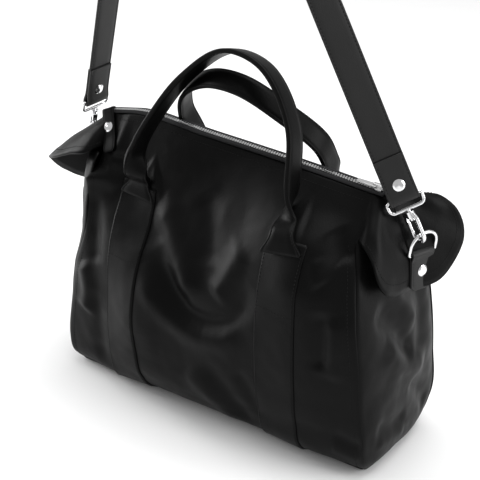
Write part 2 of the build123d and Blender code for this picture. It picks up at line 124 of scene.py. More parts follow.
# the folds that hang in the front panel: line in x and z, how far out (+) or in (-), half width
FOLDS = [
    ([(-78, 238), (-50, 216), (-20, 186), (-8, 160)], 7.0, 15.0),
    ([(-66, 196), (-40, 166), (-4, 142), (34, 146), (58, 164), (76, 200)], -7.5, 13.0),
    ([(-84, 176), (-50, 140), (-6, 120), (40, 124), (72, 142)], 4.0, 14.0),
    ([(26, 172), (40, 198), (52, 232)], 5.5, 13.0),
    ([(-20, 258), (0, 225), (8, 196)], -4.0, 16.0),
    ([(160, 200), (164, 168), (163, 130)], -5.0, 9.0),
    ([(178, 196), (180, 160), (178, 120)], 3.0, 12.0),
    ([(152, 272), (164, 254), (172, 245)], -6.5, 8.0),
    ([(172, 245), (181, 262), (184, 276)], -3.0, 7.0),
    ([(148, 250), (152, 236), (160, 226)], 4.0, 9.0),
    ([(12, 92), (46, 58), (74, 12)], -3.0, 12.0),
    ([(-10, 74), (24, 40), (44, 6)], 3.0, 13.0),
    ([(58, 96), (76, 70), (82, 40)], -2.0, 10.0),
    ([(178, 52), (196, 48), (212, 44)], -2.5, 8.0),
    ([(176, 34), (196, 30), (208, 24)], 1.5, 8.0),
    ([(-190, 262), (-160, 262), (-132, 254), (-104, 246)], -7.0, 7.0),
    ([(-186, 246), (-158, 244), (-136, 236)], 4.5, 9.0),
    ([(-170, 232), (-164, 190), (-160, 150)], -5.0, 12.0),
    ([(-184, 150), (-172, 120), (-178, 84)], 6.0, 13.0),
    ([(-160, 120), (-150, 70), (-154, 20)], -2.5, 12.0),
    ([(-110, 256), (-96, 250), (-84, 256)], 5.0, 14.0),
    ([(92, 274), (106, 268), (122, 272)], 5.0, 14.0),
]
GUSSET_FOLDS = [
    ([(-40, 236), (-10, 200), (30, 150)], 5.5, 13.0),
    ([(-46, 196), (-12, 158), (18, 120)], -5.5, 13.0),
    ([(-40, 150), (0, 116), (46, 96)], 4.5, 14.0),
    ([(40, 210), (44, 160), (36, 110)], -4.0, 15.0),
    ([(-58, 60), (-30, 52), (6, 50)], -2.5, 9.0),
    ([(-56, 40), (-26, 34), (4, 32)], 2.0, 9.0),
    ([(10, 84), (40, 60), (58, 30)], -3.5, 10.0),
]
BACK_FOLDS = [
    ([(-76, 290), (-20, 294), (36, 290)], 18.0, 10.0),
    ([(-90, 220), (-30, 170), (40, 160), (100, 210)], -5.0, 16.0),
    ([(-80, 180), (-20, 136), (50, 130), (96, 170)], 4.0, 16.0),
    ([(-160, 210), (-150, 150), (-156, 90)], -4.0, 13.0),
    ([(158, 200), (150, 140), (160, 80)], -4.0, 13.0),
    ([(-20, 90), (20, 50), (60, 20)], 3.0, 14.0),
]

# the right flap's line down from the zip, and the edges of the four ears of the end flaps
RIGHT_LINE = [(187, 0, 306), (198, 0, 282), (209, 0, 257), (215.5, 0, 240), (218, 0, 206)]
LEFT_LINE = [(-187, -1, 319), (-193, -5, 310), (-206, -11, 300), (-232, -20, 281), (-264, -28, 252)]
RIGHT_FRONT_EDGE = [
    (175, -43, 261), (188, -48, 262), (199, -51, 252), (208, -53, 234), (212.5, -46, 218),
    (215.5, -26, 208), (218, 0, 206),
]
RIGHT_REAR_EDGE = [
    (175, 43, 261), (194, 50, 283), (216, 50, 296), (236, 58, 282), (246, 61, 256), (246, 48, 231),
    (237, 27, 210), (218, 0, 206),
]
LEFT_FRONT_EDGE = [
    (-172, -49, 272), (-184, -52, 282), (-205, -53, 277), (-240, -46, 262), (-264, -28, 252),
]
LEFT_REAR_EDGE = [
    (-172, 43, 272), (-190, 45, 250), (-214, 40, 221), (-241, 22, 212), (-261, -4, 228),
    (-264, -28, 252),
]

# ---- strips and handles -------------------------------------------------------------------------------
STRIP_X = {-1: (-136.0, -83.0), 1: (83.0, 136.0)}
STRIP_PROUD = 1.9
SEAM_GROOVE = 1.3
TURN_SPAN = 3  # columns that roll into a seam
STITCH_PITCH = 4.0
STITCH_LONG = 2.7
FINE_PITCH = 3.4  # round free edges and on the tabs
FINE_LONG = 2.3
THREAD = 0.42
STITCH_SINK = 0.15
THREAD_PROUD = 0.1  # how far above the leather a seam's line runs


def unit(v):
    v = np.asarray(v, float)
    return v / np.linalg.norm(v, axis=-1, keepdims=True)


def hermite(a, b, slope_a, slope_b, h, t):
    """Between a and b, which are h apart, with the given slopes there; t runs from 0 to 1."""
    return (
        a * (1 + 2 * t) * (1 - t) ** 2
        + slope_a * h * t * (1 - t) ** 2
        + b * t**2 * (3 - 2 * t)
        + slope_b * h * t**2 * (t - 1)
    )


def smooth(x, xs, ys):
    """Values through points, with no corner at them and flat at turning points."""
    x = np.asarray(x, float)
    xs = np.asarray(xs, float)
    ys = np.asarray(ys, float)
    step = np.diff(xs)
    slope = np.diff(ys) / step
    tangent = np.empty_like(ys)
    tangent[0], tangent[-1] = slope[0], slope[-1]
    tangent[1:-1] = (slope[:-1] * step[1:] + slope[1:] * step[:-1]) / (step[:-1] + step[1:])
    limit = 3 * np.minimum(np.abs(np.append(slope, slope[-1])), np.abs(np.insert(slope, 0, slope[0])))
    tangent = np.clip(tangent, -limit, limit)
    i = np.clip(np.searchsorted(xs, x) - 1, 0, len(xs) - 2)
    t = np.clip((x - xs[i]) / step[i], 0, 1)
    return hermite(ys[i], ys[i + 1], tangent[i], tangent[i + 1], step[i], t)


def curve(points, count):
    """Evenly spaced points on a smooth line through the given ones."""
    p = np.array(points, float)
    size = np.linalg.norm(np.diff(p, axis=0), axis=1)
    at = np.concatenate([[0], np.cumsum(size)])
    tangent = np.empty_like(p)
    tangent[1:-1] = (p[2:] - p[:-2]) / (at[2:] - at[:-2])[:, None]
    tangent[0] = (p[1] - p[0]) / size[0] * 1.5 - tangent[1] * 0.5 if len(p) > 2 else (p[1] - p[0]) / size[0]
    tangent[-1] = (p[-1] - p[-2]) / size[-1] * 1.5 - tangent[-2] * 0.5 if len(p) > 2 else tangent[0]
    fine = np.linspace(0, at[-1], 400)
    i = np.clip(np.searchsorted(at, fine) - 1, 0, len(at) - 2)
    h = (at[i + 1] - at[i])[:, None]
    t = ((fine - at[i]) / (at[i + 1] - at[i]))[:, None]
    path = hermite(p[i], p[i + 1], tangent[i], tangent[i + 1], h, t)
    run = np.concatenate([[0], np.cumsum(np.linalg.norm(np.diff(path, axis=0), axis=1))])
    want = np.linspace(0, run[-1], count)
    return np.stack([np.interp(want, run, path[:, k]) for k in range(path.shape[1])], axis=1)


def ease(t):
    t = np.clip(t, 0, 1)
    return t * t * (3 - 2 * t)


def bow(x):
    """How far the top edge is above TOP_Z."""
    return smooth(x, *np.array(ZIP_LINE, float).T) - TOP_Z


def fold_field(x, z, folds):
    """How far each point is pushed out by the folds. A fold fades at its two ends."""
    total = np.zeros_like(x)
    for line, push, width in folds:
        p = curve(line, 24)
        away = np.full(x.shape, 1e9)
        where = np.zeros(x.shape)
        for k in range(len(p) - 1):
            a, b = p[k], p[k + 1]
            d = b - a
            t = np.clip(((x - a[0]) * d[0] + (z - a[1]) * d[1]) / (d @ d), 0, 1)
            dist = np.hypot(x - a[0] - t * d[0], z - a[1] - t * d[1])
            near = dist < away
            away = np.where(near, dist, away)
            where = np.where(near, (k + t) / (len(p) - 1), where)
        fade = np.minimum(ease(where / 0.22 + 0.15), ease((1 - where) / 0.22 + 0.15))
        total += push * fade * np.exp(-((away / width) ** 2))
    return total


def ripple(points, scale, push, seed):
    """Shallow uneven waves in the leather."""
    flat = points.reshape(-1, 3)
    shift = Vector((seed * 7.3, seed * 3.1, seed * 1.7))
    value = [noise.fractal(Vector(p) / scale + shift, 1.0, 2.0, 3) for p in flat]
    return push * np.array(value).reshape(points.shape[:-1])


def seam_at(seam, z):
    table = np.array(seam, float)
    return smooth(z, table[:, 0], table[:, 1]), smooth(z, table[:, 0], table[:, 2])


def heights(count, top):
    """Rows that are closer together near the base."""
    t = np.linspace(0, 1, count)
    return 0.4 + (top - 0.4) * (0.25 * t**2 + 0.75 * t)


def front_depth(x, z):
    """How far the front stands in front of the zip's line, without its folds, for rows of x at heights z."""
    left_x, left_y = seam_at(FRONT_LEFT_SEAM, z)
    right_x, right_y = seam_at(FRONT_RIGHT_SEAM, z)
    columns = [smooth(z, *np.array(FRONT_COLUMNS[k], float).T) for k in FRONT_COLUMNS]
    out = np.empty_like(x)
    for j in range(x.shape[0]):
        xs = [-left_x[j], *FRONT_COLUMNS, right_x[j]]
        ys = [left_y[j], *[c[j] for c in columns], right_y[j]]
        out[j] = smooth(x[j], xs, ys)
    return out


def edge_fade(u, width):
    """0 at both ends of a row and 1 away from them."""
    return ease((1 - np.abs(u)) / width)


def behind_tab(x, depth, height):
    """Depth of the front, held behind the tab over the zip's closed end."""
    _, tab_y, tab_z = END_TAB_TOP
    roof = -tab_y - TAB_GAP + (tab_z - height) * ROOF_RUN / ROOF_DROP
    near = ease((-146 - x) / 14) * ease((height - 256) / 12)
    return depth + (np.minimum(depth, roof) - depth) * near


def point_on(rows, x, z):
    """One point of the surface that front_rows or back_rows gives."""
    return rows(np.array([[float(x)]]), np.array([float(z)]))[0, 0]


def row_shape(x, z, folds):
    """For rows of x at heights z: how far the folds push out, and the height after the zip's hump."""
    zz = np.repeat(z[:, None], x.shape[1], axis=1)
    fade = ease((TOP_Z - zz) / FOLD_FADE_TOP) * ease(zz / FOLD_FADE_BASE)
    return fold_field(x, zz, folds) * fade, zz + bow(x) * ease((zz - HUMP_FROM) / (TOP_Z - HUMP_FROM))


def front_rows(x, z):
    """Points of the finished front surface, for rows of x at heights z."""
    push, height = row_shape(x, z, FOLDS)
    return np.stack([x, -behind_tab(x, front_depth(x, z) + push, height), height], axis=2)


def back_rows(x, z):
    """Points of the finished back surface, for rows of x at heights z."""
    left_x, left_y = seam_at(BACK_LEFT_SEAM, z)
    right_x, right_y = seam_at(BACK_RIGHT_SEAM, z)
    flat = smooth(z, *np.array(BACK_DEPTH, float).T)
    out = np.empty_like(x)
    for j in range(x.shape[0]):
        xs = [-left_x[j], -136, -60, 60, 136, right_x[j]]
        ys = [left_y[j], flat[j] * 0.985, flat[j], flat[j], flat[j] * 0.985, right_y[j]]
        out[j] = smooth(x[j], xs, ys)
    push, height = row_shape(x, z, BACK_FOLDS)
    return np.stack([x, out + push, height], axis=2)


# ---- meshes -------------------------------------------------------------------------------------------


def make_mesh(name, points, faces, material):
    mesh = bpy.data.meshes.new(name)
    mesh.from_pydata([tuple(float(c) * MM for c in p) for p in points], [], faces)
    mesh.validate()
    mesh.update()
    for polygon in mesh.polygons:
        polygon.use_smooth = True
    mesh.materials.append(material)
    obj = bpy.data.objects.new(name, mesh)
    bpy.context.scene.collection.objects.link(obj)
    return obj


def grid_faces(rows, columns, start=0, flip=False, closed=False):
    faces = []
    for j in range(rows - 1):
        for i in range(columns if closed else columns - 1):
            k = (i + 1) % columns
            a, b = start + j * columns + i, start + j * columns + k
            c, d = b + columns, a + columns
            faces.append((a, d, c, b) if flip else (a, b, c, d))
    return faces


def sheet_of(name, grids, material, flip, thick=LEATHER):
    """One leather piece from one or more grids that share their edges, given its thickness."""
    points, faces = [], []
    for grid in grids:
        rows, columns = grid.shape[:2]
        faces += grid_faces(rows, columns, len(points), flip)
        points += list(grid.reshape(-1, 3))
    obj = make_mesh(name, points, faces, material)
    weld = obj.modifiers.new("weld", "WELD")
    weld.merge_threshold = 0.00003
    solid = obj.modifiers.new("leather", "SOLIDIFY")
    solid.thickness = thick * MM
    solid.offset = -1.0
    solid.use_even_offset = False
    apply_modifiers(obj)
    return obj


def apply_modifiers(obj):
    depsgraph = bpy.context.evaluated_depsgraph_get()
    mesh = bpy.data.meshes.new_from_object(obj.evaluated_get(depsgraph))
    obj.modifiers.clear()
    obj.data = mesh
    for polygon in mesh.polygons:
        polygon.use_smooth = True


def coons(low, high, near, far):
    """A surface between four curves: low and high run along the rows, near and far across them."""
    rows, columns = len(near), len(low)
    q = np.linspace(0, 1, rows)[:, None, None]
    p = np.linspace(0, 1, columns)[None, :, None]
    ruled = (1 - q) * low[None] + q * high[None] + (1 - p) * near[:, None] + p * far[:, None]
    corner = (1 - q) * ((1 - p) * low[0] + p * low[-1]) + q * ((1 - p) * high[0] + p * high[-1])
    return ruled - corner


def turned_edge(grid):
    """Rolls the first and last columns of a panel inward, as at a sewn seam."""
    out = grid.copy()
    across = np.gradient(grid, axis=1)
    along = np.gradient(grid, axis=0)
    normal = unit(np.cross(across, along))
    for k in range(TURN_SPAN):
        drop = SEAM_GROOVE * (1 - k / TURN_SPAN) ** 2
        out[:, k] -= normal[:, k] * drop
        out[:, -1 - k] -= normal[:, -1 - k] * drop
    return out


SEAM_PLACE = 0.845  # a strap's stitch groove, as a part of its half width
# half of a strap's cross-section, with the groove that its stitches lie in: across and out, each up to 1
SECTION = [
    (-1.0, 0.0), (-1.0, 0.45), (-0.985, 0.8), (-0.95, 0.97), (-0.88, 1.0), (-SEAM_PLACE, 0.86), (-0.81, 1.0),
    (-0.5, 1.06), (0.0, 1.1), (0.5, 1.06), (0.81, 1.0), (SEAM_PLACE, 0.86), (0.88, 1.0), (0.95, 0.97),
    (0.985, 0.8), (1.0, 0.45), (1.0, 0.0),
]


def ribbon(name, centres, across, half_width, half_thick, material):
    """A stitched leather strap along a line. A width or thickness is one number or one for each station."""
    centres = np.asarray(centres, float)
    count = len(centres)
    along = unit(np.gradient(centres, axis=0))
    across = unit(across - along * np.sum(across * along, axis=1, keepdims=True))
    normal = np.cross(along, across)
    wide = np.broadcast_to(half_width, count)[:, None]
    thick = np.broadcast_to(half_thick, count)[:, None]
    loop = SECTION + [(a, -b) for a, b in SECTION[-2:0:-1]]
    points = [centres + across * wide * a + normal * thick * b for a, b in loop]
    points = np.stack(points, axis=1)
    faces = grid_faces(count, len(loop), 0, False, closed=True)
    faces.append(tuple(range(len(loop) - 1, -1, -1)))
    faces.append(tuple(range((count - 1) * len(loop), count * len(loop))))
    obj = make_mesh(name, points.reshape(-1, 3), faces, material)
    return obj, along, across, normal


# a stitch is rings of points: place along it, radius and lift, in stitch lengths and thread widths
STITCH_RINGS = ((-0.5, 0.35, -0.5), (-0.3, 0.95, 0.1), (0.0, 1.1, 0.35), (0.3, 0.95, 0.1), (0.5, 0.35, -0.5))
STITCH_SIDES = 6


class Stitching:
    """Gathers stitches from many seams into one mesh for each body."""

    def __init__(self):
        self.points, self.faces = [], []

    def add(self, line, normal, pitch=STITCH_PITCH, size=STITCH_LONG):
        line = np.asarray(line, float)
        normal = np.broadcast_to(np.asarray(normal, float), line.shape)
        run = np.concatenate([[0], np.cumsum(np.linalg.norm(np.diff(line, axis=0), axis=1))])
        for s in np.arange(pitch * 0.6, run[-1] - pitch * 0.4, pitch):
            place = np.array([np.interp(s, run, line[:, k]) for k in range(3)])
            ahead = np.array([np.interp(s + 0.5, run, line[:, k]) for k in range(3)])
            n = unit(np.array([np.interp(s, run, normal[:, k]) for k in range(3)]))
            way = unit(ahead - place)
            side = np.cross(way, n)
            start = len(self.points)
            for t, r, lift in STITCH_RINGS:
                centre = place + way * t * size + n * (lift * THREAD - STITCH_SINK)
                for k in range(STITCH_SIDES):
                    angle = math.tau * k / STITCH_SIDES
                    offset = side * math.cos(angle) + n * math.sin(angle)
                    self.points.append(centre + offset * r * THREAD)
            self.faces += grid_faces(len(STITCH_RINGS), STITCH_SIDES, start, True, closed=True)

    def build(self, name):
        obj = make_mesh(name, self.points, self.faces, THREAD_MATERIAL)
        return obj


# ---- materials ----------------------------------------------------------------------------------------


def new_material(name):
    material = bpy.data.materials.new(name)
    material.use_nodes = True
    nodes = material.node_tree.nodes
    shader = nodes["Principled BSDF"]
    return material, nodes, material.node_tree.links, shader


def ramp(nodes, stops):
    node = nodes.new("ShaderNodeValToRGB")
    while len(node.color_ramp.elements) < len(stops):
        node.color_ramp.elements.new(0.5)
    for element, (place, value) in zip(node.color_ramp.elements, stops):
        element.position = place
        element.color = (*value, 1) if isinstance(value, tuple) else (value, value, value, 1)
    return node


def add_noise(nodes, scale, detail, distortion=0.0):
    node = nodes.new("ShaderNodeTexNoise")
    node.inputs["Scale"].default_value = scale
    node.inputs["Detail"].default_value = detail
    node.inputs["Distortion"].default_value = distortion
    return node


def add_bump(nodes, links, height, strength, distance, below=None):
    """A bump from a height output, on top of the bump below it."""
    node = nodes.new("ShaderNodeBump")
    node.inputs["Strength"].default_value = strength
    node.inputs["Distance"].default_value = distance
    links.new(height, node.inputs["Height"])
    if below:
        links.new(below.outputs["Normal"], node.inputs["Normal"])
    return node


def scaled(nodes, links, value, by, plus):
    node = nodes.new("ShaderNodeMath")
    node.operation = "MULTIPLY_ADD"
    links.new(value, node.inputs[0])
    node.inputs[1].default_value = by
    node.inputs[2].default_value = plus
    return node.outputs[0]


def leather_material(name, dark, light, rough, gloss, grain=1.0):
    """Black calf leather: pebbled grain with fine pores, uneven dye and slightly polished high spots."""
    material, nodes, links, shader = new_material(name)
    place = nodes.new("ShaderNodeTexCoord")
    pebble = nodes.new("ShaderNodeTexVoronoi")
    pebble.feature = "SMOOTH_F1"
    pebble.inputs["Scale"].default_value = 620 / grain
    pebble.inputs["Smoothness"].default_value = 0.6
    pore = add_noise(nodes, 1500, 3)
    cloud = add_noise(nodes, 9, 5)
    wrinkle = add_noise(nodes, 70, 6, 0.6)
    for node in (pebble, pore, cloud, wrinkle):
        links.new(place.outputs["Object"], node.inputs["Vector"])
    colour = ramp(nodes, [(0.3, dark), (0.7, light)])
    links.new(cloud.outputs["Fac"], colour.inputs["Fac"])
    links.new(colour.outputs["Color"], shader.inputs["Base Color"])
    links.new(scaled(nodes, links, wrinkle.outputs["Fac"], 0.16, rough - 0.08), shader.inputs["Roughness"])
    creases = add_bump(nodes, links, wrinkle.outputs["Fac"], 0.16, 0.0006)
    pebbles = add_bump(nodes, links, pebble.outputs["Distance"], 0.22, 0.00035, creases)
    pores = add_bump(nodes, links, pore.outputs["Fac"], 0.10, 0.0002, pebbles)
    links.new(pores.outputs["Normal"], shader.inputs["Normal"])
    shader.inputs["Specular IOR Level"].default_value = gloss
    return material


def metal_material(name, colour, rough, brushed=False):
    """Plated metal with faint wear, drawn out along Z where it is brushed."""
    material, nodes, links, shader = new_material(name)
    place = nodes.new("ShaderNodeTexCoord")
    mark = add_noise(nodes, 260, 6)
    stretch = nodes.new("ShaderNodeMapping")
    stretch.inputs["Scale"].default_value = (1, 1, 6) if brushed else (1, 1, 1)
    links.new(place.outputs["Object"], stretch.inputs["Vector"])
    links.new(stretch.outputs["Vector"], mark.inputs["Vector"])
    links.new(scaled(nodes, links, mark.outputs["Fac"], 0.14, rough - 0.05), shader.inputs["Roughness"])
    bump = add_bump(nodes, links, mark.outputs["Fac"], 0.05, 0.0001)
    links.new(bump.outputs["Normal"], shader.inputs["Normal"])
    tint = ramp(nodes, [(0.35, tuple(0.9 * c for c in colour)), (0.65, colour)])
    links.new(mark.outputs["Fac"], tint.inputs["Fac"])
    links.new(tint.outputs["Color"], shader.inputs["Base Color"])
    shader.inputs["Metallic"].default_value = 1.0
    return material


def cloth_material(name, colour, scale):
    """Plain weave: two crossing waves for the threads."""
    material, nodes, links, shader = new_material(name)
    place = nodes.new("ShaderNodeTexCoord")
    waves = []
    for direction in ("X", "Z"):
        wave = nodes.new("ShaderNodeTexWave")
        wave.bands_direction = direction
        wave.inputs["Scale"].default_value = scale
        wave.inputs["Distortion"].default_value = 0.6
        links.new(place.outputs["Object"], wave.inputs["Vector"])
        waves.append(wave)
    both = nodes.new("ShaderNodeMath")
    both.operation = "MULTIPLY"
    links.new(waves[0].outputs["Fac"], both.inputs[0])
    links.new(waves[1].outputs["Fac"], both.inputs[1])
    tint = ramp(nodes, [(0.0, tuple(0.6 * c for c in colour)), (1.0, tuple(1.2 * c for c in colour))])
    links.new(both.outputs[0], tint.inputs["Fac"])
    links.new(tint.outputs["Color"], shader.inputs["Base Color"])
    bump = add_bump(nodes, links, both.outputs[0], 0.4, 0.0003)
    links.new(bump.outputs["Normal"], shader.inputs["Normal"])
    shader.inputs["Roughness"].default_value = 0.85
    shader.inputs["Specular IOR Level"].default_value = 0.2
    return material


BLACK_LEATHER = leather_material("leather_body", 0.0015, 0.0028, 0.42, 0.085)
STRAP_LEATHER = leather_material("leather_strap", 0.014, 0.019, 0.46, 0.22, grain=0.8)
THREAD_MATERIAL = cloth_material("thread_black", (0.006, 0.006, 0.006), 900)
TAPE_MATERIAL = cloth_material("zip_tape_weave", (0.014, 0.014, 0.015), 700)
LINING_MATERIAL = cloth_material("lining_weave", (0.12, 0.10, 0.085), 500)
BOARD_MATERIAL = cloth_material("board_cover", (0.05, 0.05, 0.05), 300)
CHROME = metal_material("chrome_fittings", (0.86, 0.86, 0.87), 0.09)
ZIP_METAL = metal_material("zip_elements", (0.78, 0.78, 0.78), 0.22, brushed=True)


def paint(node, material):
    """Gives a hard CAD piece its material, smooth but for its sharp edges."""
    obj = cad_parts[node]
    obj.data.materials.clear()
    obj.data.materials.append(material)
    for polygon in obj.data.polygons:
        polygon.use_smooth = True
    obj.data.set_sharp_from_angle(angle=math.radians(38))


bag_stitches = Stitching()

# ---- body panels --------------------------------------------------------------------------------------
ROWS = 150
COLUMNS = 230
EAR_COLUMNS = 46
GUSSET_ROWS = 96
GUSSET_COLUMNS = 84


def panel_ripple(grid, side_y):
    """The broad waves of the front or back. A strip that lies on a panel has the same ones."""
    return ripple(grid, 60.0, 1.1, 3 if side_y < 0 else 5)


def panel_grid(side_y):
    """The main field of the front or back panel, seam to seam."""
    z = heights(ROWS, TOP_Z)
    seams = (FRONT_LEFT_SEAM, FRONT_RIGHT_SEAM) if side_y < 0 else (BACK_LEFT_SEAM, BACK_RIGHT_SEAM)
    left, _ = seam_at(seams[0], z)
    right, _ = seam_at(seams[1], z)
    u = np.linspace(-1, 1, COLUMNS)
    x = -left[:, None] + (left + right)[:, None] * (u + 1) / 2
    grid = front_rows(x, z) if side_y < 0 else back_rows(x, z)
    fade = edge_fade(u, 0.06)[None, :] * ease((TOP_Z - z) / 20)[:, None] * ease(z / 10)[:, None]
    grid[..., 1] += side_y * panel_ripple(grid, side_y) * fade
    grid[..., 1] += side_y * ripple(grid, 22.0, 0.2, 8) * fade
    return z, grid


def ear(z, grid, end_column, seam_top, edge, line):
    """The part of a panel past the seam: from the column at the seam's top round to the zip's line."""
    rows = np.where(z >= seam_top)[0]
    near = grid[rows, end_column]
    edge = curve([near[0], *edge[1:]], EAR_COLUMNS)
    far = curve([edge[-1], *line[-2::-1]], len(rows))
    middle = (near[-1] + far[-1]) / 2 + (0, near[-1][1] * 0.35, 0)
    high = curve([near[-1], middle, far[-1]], EAR_COLUMNS)
    return coons(edge, high, near, far), rows


def rippled_ear(patch, seed):
    """The ear with waves that die out at the seam and at the zip."""
    normal = unit(np.cross(np.gradient(patch, axis=1), np.gradient(patch, axis=0)) + 1e-9)
    p = np.linspace(0, 1, patch.shape[1])[None, :]
    q = np.linspace(0, 1, patch.shape[0])[:, None]
    return patch + normal * (ripple(patch, 40.0, 1.2, seed) * ease(p / 0.2) * ease((1 - q) / 0.2))[..., None]


def bag_panel(name, side_y):
    """The front or back leather with its two ears. Also gives the grids, and each seam's top row."""
    z, grid = panel_grid(side_y)
    lines = (RIGHT_FRONT_EDGE, LEFT_FRONT_EDGE) if side_y < 0 else (RIGHT_REAR_EDGE, LEFT_REAR_EDGE)
    right, right_rows = ear(z, grid, -1, RIGHT_SEAM_TOP, lines[0], RIGHT_LINE)
    left, left_rows = ear(z, grid, 0, LEFT_SEAM_TOP, lines[1], LEFT_LINE)
    right = rippled_ear(right, 11)
    left = rippled_ear(left, 12)
    low_right, low_left = right_rows[0], left_rows[0]
    turned = turned_edge(grid)
    grid[: low_right - 2, -4:] = turned[: low_right - 2, -4:]
    grid[: low_left - 2, :4] = turned[: low_left - 2, :4]
    obj = sheet_of(name, [grid, right, left[:, ::-1]], BLACK_LEATHER, side_y > 0)
    return obj, grid, right, left, (low_right, low_left)


def outward_normals(grid, outward):
    normal = unit(np.cross(np.gradient(grid, axis=1), np.gradient(grid, axis=0)))
    if np.mean(np.sum(normal * outward, axis=2)) < 0:
        normal = -normal
    return normal


def stitch_column(grid, normal, column, rows):
    line = grid[rows, column] + normal[rows, column] * THREAD_PROUD
    bag_stitches.add(line, normal[rows, column])


front_obj, front_grid, front_right, front_left, front_lows = bag_panel("front_leather", -1)
back_obj, back_grid, back_right, back_left, back_lows = bag_panel("back_leather", 1)
for obj, node in ((front_obj, "front_panel"), (back_obj, "back_panel")):
    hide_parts(node)
    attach(obj, "bag")


def gusset(name, side_x):
    """One end below its flap, from the front seam round to the back seam. It is pinched in under the zip."""
    front_seam = FRONT_RIGHT_SEAM if side_x > 0 else FRONT_LEFT_SEAM
    back_seam = BACK_RIGHT_SEAM if side_x > 0 else BACK_LEFT_SEAM
    z = heights(GUSSET_ROWS, 274.0 if side_x > 0 else 282.0)
    fx, fy = seam_at(front_seam, z)
    bx, by = seam_at(back_seam, z)
    reach = smooth(z, *np.array(RIGHT_REACH if side_x > 0 else LEFT_REACH, float).T) - 1.0
    pinch = ease((z - 150) / 120) * (5.0 if side_x > 0 else 0.0)
    grid = np.empty((len(z), GUSSET_COLUMNS, 3))
    for j in range(len(z)):
        waist = reach[j] - pinch[j] * 0.5
        bend = [
            (fx[j], -fy[j]),
            ((fx[j] + 2 * reach[j]) / 3, -fy[j] * 0.74),
            (waist, -fy[j] * 0.36),
            (reach[j] - pinch[j], 0),
            (waist, by[j] * 0.36),
            ((bx[j] + 2 * reach[j]) / 3, by[j] * 0.74),
            (bx[j], by[j]),
        ]
        grid[j, :, :2] = curve(bend, GUSSET_COLUMNS)
        grid[j, :, 2] = z[j]
    u = np.linspace(-1, 1, GUSSET_COLUMNS)[None, :]
    fade = edge_fade(u, 0.12) * ease(z / 14)[:, None]
    push = fold_field(grid[..., 1], grid[..., 2], GUSSET_FOLDS) + ripple(grid, 50.0, 1.4, 21 + side_x)
    grid[..., 0] += push * fade
    grid[..., 0] *= side_x
    turned = turned_edge(grid if side_x > 0 else grid[:, ::-1])
    if side_x < 0:
        turned = turned[:, ::-1]
    obj = sheet_of(name, [turned], BLACK_LEATHER, side_x < 0)
    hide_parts("gusset_right" if side_x > 0 else "gusset_left")
    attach(obj, "bag")
    return turned


gusset_right_grid = gusset("gusset_leather_right", 1)
gusset_left_grid = gusset("gusset_leather_left", -1)


# loops of the bottom leather, from its edge to its middle: scale and height
BASE_LOOPS = ((1.0, 1.6), (0.993, 0.5), (0.975, 0.1), (0.5, 0.1), (0.02, 0.1))


def base():
    """The bottom leather, turned up a little round its edge where it meets the sides."""
    sides = (front_grid[0], gusset_right_grid[0], back_grid[0, ::-1], gusset_left_grid[0, ::-1])
    outline = np.concatenate(sides)
    grid = np.stack([outline * (scale, scale, 0) + (0, 0, z) for scale, z in BASE_LOOPS])
    grid = np.concatenate([grid, grid[:, :1]], axis=1)
    obj = sheet_of("base_leather", [grid], BLACK_LEATHER, False, thick=1.4)
    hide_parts("base_panel")
    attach(obj, "bag")


base()

# seam stitches, on the panel's side of each corner seam and round the flaps' free edges
for grid, lows, out in ((front_grid, front_lows, (0, -1, 0)), (back_grid, back_lows, (0, 1, 0))):
    normal = outward_normals(grid, np.array(out, float))
    stitch_column(grid, normal, 5, slice(3, lows[1]))
    stitch_column(grid, normal, -6, slice(3, lows[0]))
for patch, out in (
    (front_right, (0.7, -0.7, 0)),
    (back_right, (0.7, -0.7, 0)),
    (front_left, (0, -0.5, 0.8)),
    (back_left, (-0.5, 0.6, 0.5)),
):
    normal = outward_normals(patch, np.array(out, float))
    line = patch[2, 3:-1] + normal[2, 3:-1] * THREAD_PROUD
    bag_stitches.add(line, normal[2, 3:-1], pitch=FINE_PITCH, size=FINE_LONG)
for grid, out in ((front_grid, (0, -0.7, 0.7)), (back_grid, (0, 0.7, 0.7))):
    normal = outward_normals(grid, np.array(out, float))
    line = grid[-4, 4:-4] + normal[-4, 4:-4] * THREAD_PROUD
    bag_stitches.add(line, normal[-4, 4:-4], pitch=FINE_PITCH, size=FINE_LONG)


# ---- strips -------------------------------------------------------------------------------------------


def strip(name, node, side_x, side_y, top):
    """A reinforcing strip that lies on its panel, up to the handle's foot."""
    x0, x1 = STRIP_X[side_x]
    z = heights(110, top)
    u = np.linspace(0, 1, 36)
    x = x0 + (x1 - x0) * u[None, :] + np.zeros((len(z), 1))
    rows = front_rows(x, z) if side_y < 0 else back_rows(x, z)
    fade = (ease((TOP_Z - z) / 20) * ease(z / 10))[:, None]
    rows[..., 1] += side_y * panel_ripple(rows, side_y) * fade
    normal = outward_normals(rows, np.array((0, side_y, 0), float))
    lift = np.full(rows.shape[:2], STRIP_PROUD)
    lift[:, (0, -1)] = 0.2
    lift[:, (1, -2)] = STRIP_PROUD * 0.85
    grid = rows + normal * lift[..., None]
    obj = sheet_of(name, [grid], BLACK_LEATHER, side_y > 0, thick=STRIP_PROUD + 0.6)
    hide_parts(node)
    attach(obj, "bag")
    for column in (2, -3):
        bag_stitches.add(grid[3:-2, column] + normal[3:-2, column] * THREAD_PROUD, normal[3:-2, column])
    for row in (-4, int(len(z) * 0.76)):
        bag_stitches.add(grid[row, 2:-2] + normal[row, 2:-2] * THREAD_PROUD, normal[row, 2:-2])


for side_x, label, top in ((-1, "left", 244.0), (1, "right", 258.0)):
    strip(f"front_strip_leather_{label}", f"front_strip_{label}", side_x, -1, top)
    strip(f"back_strip_leather_{label}", f"back_strip_{label}", side_x, 1, 252.0)

